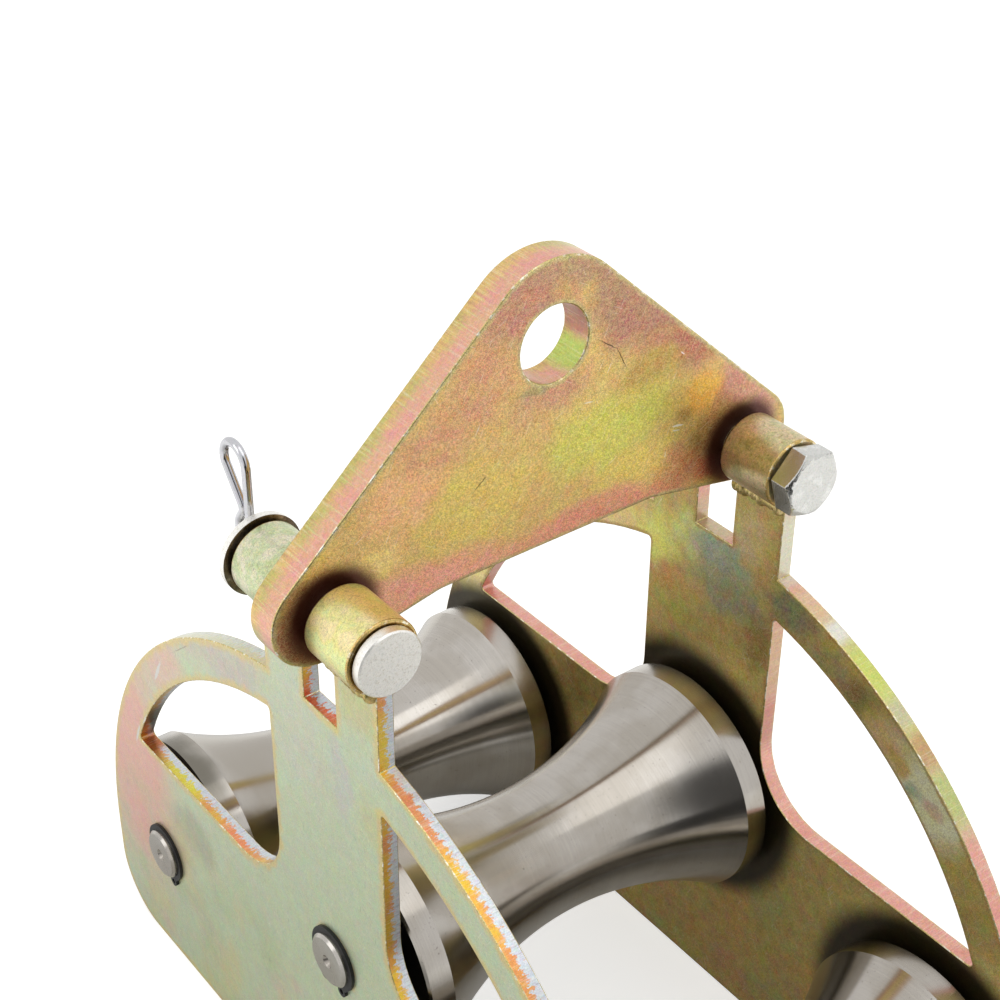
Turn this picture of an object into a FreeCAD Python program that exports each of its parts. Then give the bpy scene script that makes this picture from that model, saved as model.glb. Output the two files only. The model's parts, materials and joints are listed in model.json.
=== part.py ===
import FreeCAD, Part
import math
import os

# Hanging cable block: three hourglass rollers between two arched side plates, under a yoke with a
# lifting eye. The cable runs along Y over the rollers. X lies along the roller axles, Z is up, and
# the origin is on the ground under the middle of the block. All sizes are in millimetres.

# Side plates, laser-cut from flat steel
PLATE_GAP = 158.0            # clear width between the two plates
PLATE_T = 6.0
HEAD_R = 166.5               # outer radius of the arched head
HEAD_Z = 40.0                # height of the head's centre
ARM_W = 16.0                 # width of the arched arms
FOOT_R = 25.0                # rounding of the lower corners
POST_W = 64.0                # width of the post that carries the yoke
SILL_Z = 104.0               # lower edge of the windows
POST_FOOT_R = 28.0           # rounding where the post meets the sill
CUT_R = 1.5                  # rounding that the cutter leaves in the other window corners
SLOT_W = 18.5                # slot in the post that takes the end of the yoke
SLOT_FLOOR_Z = 205.5
PIN_Z = 245.0                # height of the yoke's pin and bolt

# Tubes welded on the tines of the posts, which hold the pin and the bolt
TUBE_D = 25.0
TUBE_BORE = 15.0
BEAD_R = 3.5                 # size of the weld beads along the tubes

# Yoke
YOKE_T = 12.0
EYE_D = 26.0
EYE_RISE = 63.5              # from the pin's axis up to the eye
CROWN_R = 28.5               # rounding round the eye
SIDE_WALL = 20.0             # from the pin's axis out to the sloping side
BELLY_DROP = 7.5             # from the pin's axis down to the flat underside
BELLY_W = 86.0               # width of the flat part of the underside
TOE_DROP = 15.2              # from the pin's axis down to the sloping underside below it
TOE_R = 16.4                 # rounding of the lower corners
PIN_HOLE_D = 15.0

# Clevis pin, its washer and its spring clip, at the side of the yoke that opens
PIN_D = 14.0
PIN_HEAD_D = 22.0
PIN_HEAD_T = 3.5
PIN_HEAD_PLAY = 0.5          # from the head to the end of the tube
PIN_TAIL = 4.5               # from the clip's hole to the end of the pin
PIN_TIP_CHAMFER = 1.5
EDGE_CHAMFER = 0.5           # broken edges of turned parts
WASHER_D = 28.0
WASHER_BORE = 15.0
WASHER_T = 2.5
WASHER_PLAY = 1.5            # from the washer to the end of the tube
WASHER_SAG = 0.4             # the loose washer hangs on the pin
CLIP_WIRE_D = 3.0
CLIP_HOLE_D = 3.5
CLIP_STANDOFF = 2.5          # from the washer to the clip
CLIP_TAIL = 20.0             # straight leg below the pin's axis
CLIP_TOP = 33.5              # top of the bow above the pin's axis
CLIP_BOW_W = 13.0            # width of the bow, between wire centres
CLIP_BEND = 25.0             # bend of the outer leg above the pin's axis
CLIP_BEND_R = 5.0
CLIP_NECK = 4.5              # from the pin up and down to where the legs close up
CLIP_NECK_R = 3.0
CLIP_WAVE_R = 5.0            # wave of the outer leg round the pin's end
CLIP_CLEAR = 0.8             # from the outer leg to the pin's end

# Hex bolt, washer and locking nut at the side of the yoke that stays hinged
BOLT_D = 14.0
HEX_AF = 22.0
HEX_FACE_SHARE = 0.92        # round face of a hexagon, as a share of its width across flats
BOLT_HEAD_T = 8.0
BOLT_HEAD_TURN = 16.0        # degrees from one corner up
BOLT_PLAY = 1.0              # from the head to the end of the tube
BOLT_TAIL = 3.0              # thread that stands out of the nut
NUT_T = 11.0
NUT_TURN = 0.0
NUT_COLLAR_T = 3.0
NUT_COLLAR_D = 19.0
NUT_COLLAR_CHAMFER = 1.0
NUT_LIP_T = 0.6              # edge of the collar that is rolled over the insert
NUT_LIP_D = 15.4
INSERT_D = 16.8
INSERT_T = 2.2
THREAD_GAP = 0.05

# Rollers, turned from steel
RIM_D = 86.0
WAIST_D = 48.8
RIM_W = 9.4                  # cylindrical band at each end
ROLLER_PLAY = 4.0            # from the roller's end to the plate
ROLLER_BORE = 38.0           # bore between the bearings
OUTER_AXLE_Z = 54.5
CENTRE_AXLE_Z = 99.5
RIM_CHAMFER = 0.8

# Sealed ball bearings
AXLE_D = 20.0
BEARING_D = 42.0
BEARING_W = 12.0
BALL_D = 6.35
BALL_COUNT = 9
RACE_OPENING = 5.4           # radial space between the two rings
RACE_GAP = 0.05              # running clearance round a ball
RING_CHAMFER = 0.6
FIT_GAP = 0.02               # clearance of the seats
CAGE_W = 2.6                 # radial width of the cage
CAGE_BACK = 4.5              # cage's back edge, from the middle of the bearing
CAGE_FRONT = 1.0             # cage's front edge, from the middle of the bearing
POCKET_GAP = 0.12
SEAL_T = 1.0
SEAL_INSET = 0.3
SEAL_LIP_GAP = 0.15

# Spacers and retaining rings
SPACER_WALL = 2.5
SPACER_GAP = 0.05
AXLE_HOLE_GAP = 0.05
AXLE_RING_T = 1.2
AXLE_RING_W = 2.6            # radial width of the ring's bow
AXLE_GROOVE_DEPTH = 0.5
AXLE_TAIL = 1.9              # axle beyond its retaining ring
AXLE_CHAMFER = 1.0
CENTRE_HOLE_R = 2.5          # centre drilled in each end for the lathe
CENTRE_HOLE_SLOPE = 60.0
BORE_RING_T = 1.75
BORE_RING_W = 3.3
BORE_GROOVE_DEPTH = 1.25
BORE_RING_INSET = 3.0        # from the roller's end to the groove
RING_PLAY = 0.05             # clearance of a retaining ring in its groove
RING_MOUTH = 6.0             # gap between the ends of a retaining ring
LUG_D = 4.4
LUG_HOLE_D = 2.0

CUT_OVER = 1.0               # how far a cut reaches past the faces that it opens

# Sizes that follow
OUTER_AXLE_Y = HEAD_R - RIM_D / 2
INNER_X = PLATE_GAP / 2
OUTER_X = INNER_X + PLATE_T
MID_X = INNER_X + PLATE_T / 2
TINE_W = (POST_W - SLOT_W) / 2
TUBE_END = POST_W / 2
ROLLER_HALF = INNER_X - ROLLER_PLAY
GROOVE_W = BORE_RING_T + 2 * RING_PLAY
BEARING_X1 = ROLLER_HALF - BORE_RING_INSET - GROOVE_W
BEARING_X0 = BEARING_X1 - BEARING_W
BEARING_X = (BEARING_X0 + BEARING_X1) / 2
PITCH_R = (AXLE_D + BEARING_D) / 4
INNER_RING_R = PITCH_R - RACE_OPENING / 2
OUTER_RING_R = PITCH_R + RACE_OPENING / 2
SPACER_R = AXLE_D / 2 + SPACER_WALL
WASHER_Y0 = TUBE_END + WASHER_PLAY
CLIP_Y = WASHER_Y0 + WASHER_T + CLIP_STANDOFF + CLIP_WIRE_D / 2
AXLES = {
    "front": (-OUTER_AXLE_Y, OUTER_AXLE_Z),
    "centre": (0.0, CENTRE_AXLE_Z),
    "rear": (OUTER_AXLE_Y, OUTER_AXLE_Z),
}
SIDES = {"left": -1, "right": 1}
ENDS = {"front": -1, "rear": 1}
ALONG_X = FreeCAD.Vector(1, 0, 0)
ALONG_Y = FreeCAD.Vector(0, 1, 0)


def rod_x(radius, x0, x1, y, z):
    return Part.makeCylinder(radius, x1 - x0, FreeCAD.Vector(x0, y, z), ALONG_X)


def rod_y(radius, y0, y1, x, z):
    return Part.makeCylinder(radius, y1 - y0, FreeCAD.Vector(x, y0, z), ALONG_Y)


def ring_x(outer, inner, x0, x1, y, z):
    return rod_x(outer, x0, x1, y, z).cut(rod_x(inner, x0 - CUT_OVER, x1 + CUT_OVER, y, z))


def ring_y(outer, inner, y0, y1, x, z):
    return rod_y(outer, y0, y1, x, z).cut(rod_y(inner, y0 - CUT_OVER, y1 + CUT_OVER, x, z))


def block(x0, x1, y0, y1, z0, z1):
    return Part.makeBox(x1 - x0, y1 - y0, z1 - z0, FreeCAD.Vector(x0, y0, z0))


def turned_x(profile, y, z):
    """Solid turned about an axle, from (x, radius) points."""
    points = [FreeCAD.Vector(x, y, z + radius) for x, radius in profile]
    face = Part.Face(Part.makePolygon(points + points[:1]))
    return face.revolve(FreeCAD.Vector(0, y, z), ALONG_X, 360)


def turned_y(profile, x, z):
    """Solid turned about the pin or the bolt, from (y, radius) points."""
    points = [FreeCAD.Vector(x, y, z + radius) for y, radius in profile]
    face = Part.Face(Part.makePolygon(points + points[:1]))
    return face.revolve(FreeCAD.Vector(x, 0, z), ALONG_Y, 360)


def straight_run(start, finish):
    """The edge between two arcs, or none where one arc runs straight into the next."""
    if start.distanceToPoint(finish) < 1e-6:
        return []
    return [Part.LineSegment(start, finish).toShape()]


def rounded_edges(corners, closed):
    """Straight runs joined by tangent arcs, from (point, radius) corners."""
    count = len(corners)
    edges = []
    start = None if closed else corners[0][0]
    first = None
    turns = range(count) if closed else range(1, count - 1)
    for index in turns:
        corner, radius = corners[index]
        back = (corners[index - 1][0] - corner).normalize()
        ahead = (corners[(index + 1) % count][0] - corner).normalize()
        half_angle = back.getAngle(ahead) / 2
        setback = radius / math.tan(half_angle)
        bisector = (back + ahead).normalize()
        entry = corner + back * setback
        leave = corner + ahead * setback
        middle = corner + bisector * (radius / math.sin(half_angle) - radius)
        if start is None:
            first = entry
        else:
            edges += straight_run(start, entry)
        edges.append(Part.Arc(entry, middle, leave).toShape())
        start = leave
    finish = first if closed else corners[-1][0]
    return edges + straight_run(start, finish)


def round_corner(shape, y, z, radius):
    """Rounds the edge of a flat-cut shape that runs along X through (y, z)."""
    def distance(edge):
        centre = edge.CenterOfMass
        return math.hypot(centre.y - y, centre.z - z)

    straight = [edge for edge in shape.Edges if edge.BoundBox.YLength + edge.BoundBox.ZLength < 0.01]
    return shape.makeFillet(radius, [min(straight, key=distance)])


def window(x0, x1, end):
    """Window between the post and one arm, with its corners rounded."""
    arch_r = HEAD_R - ARM_W
    disc = rod_x(arch_r, x0, x1, 0, HEAD_Z)
    y0, y1 = sorted((end * POST_W / 2, end * (arch_r + CUT_OVER)))
    shape = disc.common(block(x0, x1, y0, y1, SILL_Z, HEAD_Z + arch_r + CUT_OVER))
    sill_rise = SILL_Z - HEAD_Z
    sill_end = math.sqrt(arch_r ** 2 - sill_rise ** 2)
    top = HEAD_Z + math.sqrt(arch_r ** 2 - (POST_W / 2) ** 2)
    shape = round_corner(shape, end * POST_W / 2, SILL_Z, POST_FOOT_R)
    shape = round_corner(shape, end * POST_W / 2, top, CUT_R)
    return round_corner(shape, end * sill_end, SILL_Z, CUT_R)


def side_plate(side):
    """Arched plate with a slotted post, two windows and three axle holes."""
    x0, x1 = sorted((side * INNER_X, side * OUTER_X))
    cut_x0 = x0 - CUT_OVER
    cut_x1 = x1 + CUT_OVER
    shoe = block(x0, x1, -HEAD_R, HEAD_R, 0, HEAD_Z)
    for end in ENDS.values():
        shoe = round_corner(shoe, end * HEAD_R, 0, FOOT_R)
    head = rod_x(HEAD_R, x0, x1, 0, HEAD_Z)
    head = head.common(block(x0, x1, -HEAD_R, HEAD_R, HEAD_Z, HEAD_Z + HEAD_R))
    tine_top = PIN_Z - math.sqrt((TUBE_D / 2) ** 2 - (PLATE_T / 2) ** 2)
    post = block(x0, x1, -POST_W / 2, POST_W / 2, HEAD_Z, tine_top)
    plate = shoe.fuse([head, post]).removeSplitter()
    cuts = [window(cut_x0, cut_x1, end) for end in ENDS.values()]
    cuts.append(block(cut_x0, cut_x1, -SLOT_W / 2, SLOT_W / 2, SLOT_FLOOR_Z, PIN_Z))
    cuts.append(rod_y(TUBE_D / 2, -POST_W, POST_W, side * MID_X, PIN_Z))
    for y, z in AXLES.values():
        cuts.append(rod_x(AXLE_D / 2 + AXLE_HOLE_GAP, cut_x0, cut_x1, y, z))
    return plate.cut(cuts)


def tube(side, end):
    y0, y1 = sorted((end * SLOT_W / 2, end * TUBE_END))
    return ring_y(TUBE_D / 2, TUBE_BORE / 2, y0, y1, side * MID_X, PIN_Z)


def tube_welds():
    """Two beads under each tube, in the corners between the tube and its tine."""
    beads = []
    seam_z = PIN_Z - math.sqrt((TUBE_D / 2) ** 2 - (PLATE_T / 2) ** 2)
    for side in SIDES.values():
        x0, x1 = sorted((side * INNER_X, side * OUTER_X))
        tine = block(x0, x1, -POST_W, POST_W, SLOT_FLOOR_Z, PIN_Z)
        barrel = rod_y(TUBE_D / 2, -POST_W, POST_W, side * MID_X, PIN_Z)
        for end in ENDS.values():
            y0, y1 = sorted((end * SLOT_W / 2, end * TUBE_END))
            for seam_x in (x0, x1):
                bead = rod_y(BEAD_R, y0, y1, seam_x, seam_z)
                beads.append(bead.cut([tine, barrel]))
    return beads


def yoke_plate():
    """Triangular plate with an eye at the top and a hole at each lower corner."""
    span = math.hypot(MID_X, EYE_RISE)
    slope = math.atan2(EYE_RISE, MID_X) + math.asin((CROWN_R - SIDE_WALL) / span)
    apex_z = PIN_Z + EYE_RISE + CROWN_R / math.cos(slope)
    belly_z = PIN_Z - BELLY_DROP
    fall = (TOE_DROP - BELLY_DROP) / (MID_X - BELLY_W / 2)
    toe_x = (apex_z - belly_z - fall * BELLY_W / 2) / (math.tan(slope) - fall)
    toe_z = apex_z - toe_x * math.tan(slope)
    outline = [
        (0.0, apex_z, CROWN_R),
        (toe_x, toe_z, TOE_R),
        (BELLY_W / 2, belly_z, TOE_R),
        (-BELLY_W / 2, belly_z, TOE_R),
        (-toe_x, toe_z, TOE_R),
    ]
    corners = [(FreeCAD.Vector(x, -YOKE_T / 2, z), radius) for x, z, radius in outline]
    face = Part.Face(Part.Wire(rounded_edges(corners, True)))
    plate = face.extrude(ALONG_Y * YOKE_T)
    holes = [rod_y(EYE_D / 2, -YOKE_T, YOKE_T, 0, PIN_Z + EYE_RISE)]
    for side in SIDES.values():
        holes.append(rod_y(PIN_HOLE_D / 2, -YOKE_T, YOKE_T, side * MID_X, PIN_Z))
    return plate.cut(holes)


def clevis_pin():
    """Headed pin with a cross hole for the spring clip near its end."""
    head_y1 = -(TUBE_END + PIN_HEAD_PLAY)
    head_y0 = head_y1 - PIN_HEAD_T
    tip_y = CLIP_Y + PIN_TAIL
    pin = turned_y([
        (head_y0, 0.0),
        (head_y0, PIN_HEAD_D / 2 - EDGE_CHAMFER),
        (head_y0 + EDGE_CHAMFER, PIN_HEAD_D / 2),
        (head_y1, PIN_HEAD_D / 2),
        (head_y1, PIN_D / 2),
        (tip_y - PIN_TIP_CHAMFER, PIN_D / 2),
        (tip_y, PIN_D / 2 - PIN_TIP_CHAMFER),
        (tip_y, 0.0),
    ], -MID_X, PIN_Z)
    hole = Part.makeCylinder(CLIP_HOLE_D / 2, 2 * PIN_D, FreeCAD.Vector(-MID_X, CLIP_Y, PIN_Z - PIN_D))
    return pin.cut(hole)


def pin_washer():
    return ring_y(WASHER_D / 2, WASHER_BORE / 2, WASHER_Y0, WASHER_Y0 + WASHER_T, -MID_X, PIN_Z - WASHER_SAG)


def r_clip():
    """Wire clip: a straight leg through the pin, a bow above it and a waved leg round the pin's end."""
    closed_y = CLIP_Y + CLIP_WIRE_D
    wave_y = CLIP_Y + PIN_TAIL + CLIP_CLEAR + CLIP_WIRE_D / 2
    wave_z = PIN_D / 2 - PIN_TIP_CHAMFER / 2
    neck_z = PIN_D / 2 + CLIP_NECK
    bow_r = CLIP_BOW_W / 2
    path = [
        (CLIP_Y, -CLIP_TAIL, 0.0),
        (CLIP_Y, CLIP_TOP, bow_r),
        (CLIP_Y + CLIP_BOW_W, CLIP_TOP, bow_r),
        (CLIP_Y + CLIP_BOW_W, CLIP_BEND, CLIP_BEND_R),
        (closed_y, neck_z, CLIP_NECK_R),
        (wave_y, wave_z, CLIP_WAVE_R),
        (wave_y, -wave_z, CLIP_WAVE_R),
        (closed_y, -neck_z, CLIP_NECK_R),
        (wave_y, -CLIP_TAIL, 0.0),
    ]
    corners = [(FreeCAD.Vector(-MID_X, y, PIN_Z + z), radius) for y, z, radius in path]
    spine = Part.Wire(rounded_edges(corners, False))
    section = Part.Wire(Part.makeCircle(CLIP_WIRE_D / 2, corners[0][0], FreeCAD.Vector(0, 0, 1)))
    return spine.makePipeShell([section], True, False)


def hexagon(y0, y1, turn):
    """Hex prism about the bolt's axis, turned from one corner up."""
    corner_r = HEX_AF / 2 / math.cos(math.pi / 6)
    points = []
    for index in range(6):
        angle = math.pi / 2 + math.radians(turn) + index * math.pi / 3
        x = MID_X + corner_r * math.cos(angle)
        z = PIN_Z + corner_r * math.sin(angle)
        points.append(FreeCAD.Vector(x, y0, z))
    return Part.Face(Part.makePolygon(points + points[:1])).extrude(ALONG_Y * (y1 - y0))


def hex_cone(face_y, back_y):
    """Turned envelope that bevels a hexagon's corners at its face."""
    corner_r = HEX_AF / 2 / math.cos(math.pi / 6)
    face_r = HEX_AF / 2 * HEX_FACE_SHARE
    bevel = (corner_r - face_r) * math.tan(math.pi / 6)
    bevel_y = face_y + math.copysign(bevel, back_y - face_y)
    return turned_y([(face_y, 0.0), (face_y, face_r), (bevel_y, corner_r), (back_y, corner_r), (back_y, 0.0)],
                    MID_X, PIN_Z)


def yoke_bolt():
    seat_y = -(TUBE_END + BOLT_PLAY)
    head_y = seat_y - BOLT_HEAD_T
    tail_y = TUBE_END + WASHER_T + NUT_T + NUT_COLLAR_T + BOLT_TAIL
    head = hexagon(head_y, seat_y, BOLT_HEAD_TURN).common(hex_cone(head_y, seat_y))
    shank = turned_y([
        (seat_y - CUT_OVER, 0.0),
        (seat_y - CUT_OVER, BOLT_D / 2),
        (tail_y - EDGE_CHAMFER, BOLT_D / 2),
        (tail_y, BOLT_D / 2 - EDGE_CHAMFER),
        (tail_y, 0.0),
    ], MID_X, PIN_Z)
    return head.fuse(shank).removeSplitter()


def bolt_washer():
    return ring_y(WASHER_D / 2, WASHER_BORE / 2, TUBE_END, TUBE_END + WASHER_T, MID_X, PIN_Z)


def yoke_nut():
    """Locking nut: a hexagon with a round collar, rolled over the nylon insert."""
    seat_y = TUBE_END + WASHER_T
    face_y = seat_y + NUT_T
    end_y = face_y + NUT_COLLAR_T
    body = hexagon(seat_y, face_y, NUT_TURN).common(hex_cone(face_y, seat_y))
    collar = turned_y([
        (face_y - CUT_OVER, 0.0),
        (face_y - CUT_OVER, NUT_COLLAR_D / 2),
        (end_y - NUT_COLLAR_CHAMFER, NUT_COLLAR_D / 2),
        (end_y, NUT_COLLAR_D / 2 - NUT_COLLAR_CHAMFER),
        (end_y, 0.0),
    ], MID_X, PIN_Z)
    bores = [
        rod_y(BOLT_D / 2 + THREAD_GAP, seat_y - CUT_OVER, end_y, MID_X, PIN_Z),
        rod_y(INSERT_D / 2 + FIT_GAP, end_y - NUT_LIP_T - INSERT_T, end_y - NUT_LIP_T, MID_X, PIN_Z),
        rod_y(NUT_LIP_D / 2, end_y - NUT_LIP_T, end_y + CUT_OVER, MID_X, PIN_Z),
    ]
    return body.fuse(collar).removeSplitter().cut(bores)


def nut_insert():
    """Nylon ring that grips the bolt's thread."""
    end_y = TUBE_END + WASHER_T + NUT_T + NUT_COLLAR_T - NUT_LIP_T
    return ring_y(INSERT_D / 2, BOLT_D / 2 + THREAD_GAP, end_y - INSERT_T, end_y, MID_X, PIN_Z)


def roller(y, z):
    """Hourglass roller with a bearing seat and a ring groove at each end."""
    rim_r = RIM_D / 2
    rim_x = ROLLER_HALF - RIM_W
    flank = Part.Arc(
        FreeCAD.Vector(-rim_x, y, z + rim_r),
        FreeCAD.Vector(0, y, z + WAIST_D / 2),
        FreeCAD.Vector(rim_x, y, z + rim_r),
    ).toShape()
    seat_r = BEARING_D / 2 + FIT_GAP
    groove_r = BEARING_D / 2 + BORE_GROOVE_DEPTH
    groove_x = BEARING_X1 + GROOVE_W
    half = [
        (rim_x, rim_r),
        (ROLLER_HALF - RIM_CHAMFER, rim_r),
        (ROLLER_HALF, rim_r - RIM_CHAMFER),
        (ROLLER_HALF, seat_r + EDGE_CHAMFER),
        (ROLLER_HALF - EDGE_CHAMFER, seat_r),
        (groove_x, seat_r),
        (groove_x, groove_r),
        (BEARING_X1, groove_r),
        (BEARING_X1, seat_r),
        (BEARING_X0, seat_r),
        (BEARING_X0, ROLLER_BORE / 2),
    ]
    mirrored = [(-x, radius) for x, radius in reversed(half)]
    points = [FreeCAD.Vector(x, y, z + radius) for x, radius in half + mirrored]
    wire = Part.Wire([flank] + Part.makePolygon(points).Edges)
    return Part.Face(wire).revolve(FreeCAD.Vector(0, y, z), ALONG_X, 360)


def axle(y, z):
    """Round axle with a ring groove outside each plate and a drilled centre in each end."""
    radius = AXLE_D / 2
    groove_x0 = OUTER_X
    groove_x1 = groove_x0 + AXLE_RING_T + 2 * RING_PLAY
    end_x = groove_x1 + AXLE_TAIL
    centre_depth = CENTRE_HOLE_R / math.tan(math.radians(CENTRE_HOLE_SLOPE / 2))
    half = [
        (groove_x0, radius),
        (groove_x0, radius - AXLE_GROOVE_DEPTH),
        (groove_x1, radius - AXLE_GROOVE_DEPTH),
        (groove_x1, radius),
        (end_x - AXLE_CHAMFER, radius),
        (end_x, radius - AXLE_CHAMFER),
        (end_x, CENTRE_HOLE_R),
        (end_x - centre_depth, 0.0),
    ]
    mirrored = [(-x, r) for x, r in reversed(half)]
    return turned_x(half + mirrored, y, z)


def inner_ring(x, y, z):
    ring = turned_x([
        (x - BEARING_W / 2, AXLE_D / 2 + FIT_GAP),
        (x + BEARING_W / 2, AXLE_D / 2 + FIT_GAP),
        (x + BEARING_W / 2, INNER_RING_R),
        (x - BEARING_W / 2, INNER_RING_R),
    ], y, z)
    return ring.cut(race(x, y, z))


def outer_ring(x, y, z):
    outer = BEARING_D / 2
    ring = turned_x([
        (x - BEARING_W / 2, OUTER_RING_R),
        (x + BEARING_W / 2, OUTER_RING_R),
        (x + BEARING_W / 2, outer - RING_CHAMFER),
        (x + BEARING_W / 2 - RING_CHAMFER, outer),
        (x - BEARING_W / 2 + RING_CHAMFER, outer),
        (x - BEARING_W / 2, outer - RING_CHAMFER),
    ], y, z)
    return ring.cut(race(x, y, z))


def race(x, y, z):
    """Space that the balls sweep, with their running clearance."""
    return Part.makeTorus(PITCH_R, BALL_D / 2 + RACE_GAP, FreeCAD.Vector(x, y, z), ALONG_X)


def ball_cage(y, z, side):
    """The balls of one bearing and the cage that spaces them, open towards the block's middle."""
    cage_x0 = BEARING_X - CAGE_FRONT
    cage_x1 = BEARING_X + CAGE_BACK
    cage = ring_x(PITCH_R + CAGE_W / 2, PITCH_R - CAGE_W / 2, cage_x0, cage_x1, y, z)
    balls = []
    pockets = []
    for index in range(BALL_COUNT):
        angle = 2 * math.pi * index / BALL_COUNT
        centre = FreeCAD.Vector(BEARING_X, y + PITCH_R * math.cos(angle), z + PITCH_R * math.sin(angle))
        balls.append(Part.makeSphere(BALL_D / 2, centre))
        pockets.append(Part.makeSphere(BALL_D / 2 + POCKET_GAP, centre))
    pieces = [cage.cut(pockets)] + balls
    if side > 0:
        return pieces
    return [piece.mirror(FreeCAD.Vector(0, 0, 0), ALONG_X) for piece in pieces]


def seals(x, y, z):
    """The two seals of one bearing, held in its outer ring."""
    discs = []
    for face in (-1, 1):
        edge = x + face * (BEARING_W / 2 - SEAL_INSET)
        x0, x1 = sorted((edge, edge - face * SEAL_T))
        discs.append(ring_x(OUTER_RING_R - FIT_GAP, INNER_RING_R + SEAL_LIP_GAP, x0, x1, y, z))
    return discs


def spacer_tube(y, z):
    """Long spacer between the inner rings of a roller's two bearings."""
    return ring_x(SPACER_R, AXLE_D / 2 + SPACER_GAP, -BEARING_X0, BEARING_X0, y, z)


def side_spacers(y, z):
    """Short spacers between the bearings and the plates."""
    bore = AXLE_D / 2 + SPACER_GAP
    return [
        ring_x(SPACER_R, bore, -INNER_X, -BEARING_X1, y, z),
        ring_x(SPACER_R, bore, BEARING_X1, INNER_X, y, z),
    ]


def retaining_ring(inner, outer, lug_r, x0, thickness, y, z):
    """Sprung ring with a mouth at the bottom and a drilled lug at each side of the mouth."""
    x1 = x0 + thickness
    ring = ring_x(outer, inner, x0, x1, y, z)
    cut_x0 = x0 - CUT_OVER
    cut_x1 = x1 + CUT_OVER
    ring = ring.cut(block(cut_x0, cut_x1, y - RING_MOUTH / 2, y + RING_MOUTH / 2, z - 2 * outer, z))
    lugs = []
    holes = []
    for end in ENDS.values():
        lug_y = y + end * (RING_MOUTH + LUG_D) / 2
        lug_z = z - math.sqrt(lug_r ** 2 - (lug_y - y) ** 2)
        lugs.append(rod_x(LUG_D / 2, x0, x1, lug_y, lug_z))
        holes.append(rod_x(LUG_HOLE_D / 2, cut_x0, cut_x1, lug_y, lug_z))
    return ring.fuse(lugs).cut(holes)


def axle_rings(y, z):
    """Rings that keep the plates on the axle."""
    inner = AXLE_D / 2 - AXLE_GROOVE_DEPTH + RING_PLAY
    outer = inner + AXLE_RING_W
    x0 = OUTER_X + RING_PLAY
    lug_r = inner + LUG_D / 2 + AXLE_GROOVE_DEPTH
    return [
        retaining_ring(inner, outer, lug_r, x0, AXLE_RING_T, y, z),
        retaining_ring(inner, outer, lug_r, -x0 - AXLE_RING_T, AXLE_RING_T, y, z),
    ]


def bore_rings(y, z):
    """Rings that keep the bearings in the roller."""
    outer = BEARING_D / 2 + BORE_GROOVE_DEPTH - RING_PLAY
    inner = outer - BORE_RING_W
    x0 = BEARING_X1 + RING_PLAY
    lug_r = BEARING_D / 2 - LUG_D / 2 - FIT_GAP
    return [
        retaining_ring(inner, outer, lug_r, x0, BORE_RING_T, y, z),
        retaining_ring(inner, outer, lug_r, -x0 - BORE_RING_T, BORE_RING_T, y, z),
    ]


def write(name, shapes):
    """Writes one named piece, or a group of like pieces, as a STEP file."""
    shape = shapes if isinstance(shapes, Part.Shape) else Part.makeCompound(shapes)
    shape.exportStep("parts/" + name + ".step")


os.makedirs("parts", exist_ok=True)

for side_name, side in SIDES.items():
    write("side_plate_" + side_name, side_plate(side))
    for end_name, end in ENDS.items():
        write("tube_" + side_name + "_" + end_name, tube(side, end))
write("tube_welds", tube_welds())
write("yoke_plate", yoke_plate())
write("clevis_pin", clevis_pin())
write("pin_washer", pin_washer())
write("r_clip", r_clip())
write("yoke_bolt", yoke_bolt())
write("yoke_bolt_washer", bolt_washer())
write("yoke_nut", yoke_nut())
write("yoke_nut_insert", nut_insert())

for name, (axle_y, axle_z) in AXLES.items():
    write("roller_" + name, roller(axle_y, axle_z))
    write("axle_" + name, axle(axle_y, axle_z))
    write("spacer_tube_" + name, spacer_tube(axle_y, axle_z))
    write("side_spacers_" + name, side_spacers(axle_y, axle_z))
    write("axle_rings_" + name, axle_rings(axle_y, axle_z))
    write("bore_rings_" + name, bore_rings(axle_y, axle_z))
    for side_name, side in SIDES.items():
        bearing = "bearing_" + name + "_" + side_name
        bearing_x = side * BEARING_X
        write(bearing + "_outer_ring", outer_ring(bearing_x, axle_y, axle_z))
        write(bearing + "_inner_ring", inner_ring(bearing_x, axle_y, axle_z))
        write(bearing + "_balls", ball_cage(axle_y, axle_z, side))
        write(bearing + "_seals", seals(bearing_x, axle_y, axle_z))
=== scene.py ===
# Hanging cable block: two yellow-passivated side plates, three turned hourglass rollers on ball bearings,
# and a yoke with an eye that is held by a bolt on one side and by a clevis pin with a wire clip on the
# other. Blender's unit is the metre; sizes are written in millimetres and multiplied by MM.

import json
import math

import bmesh
import bpy
from mathutils import Matrix, Vector, kdtree


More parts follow.
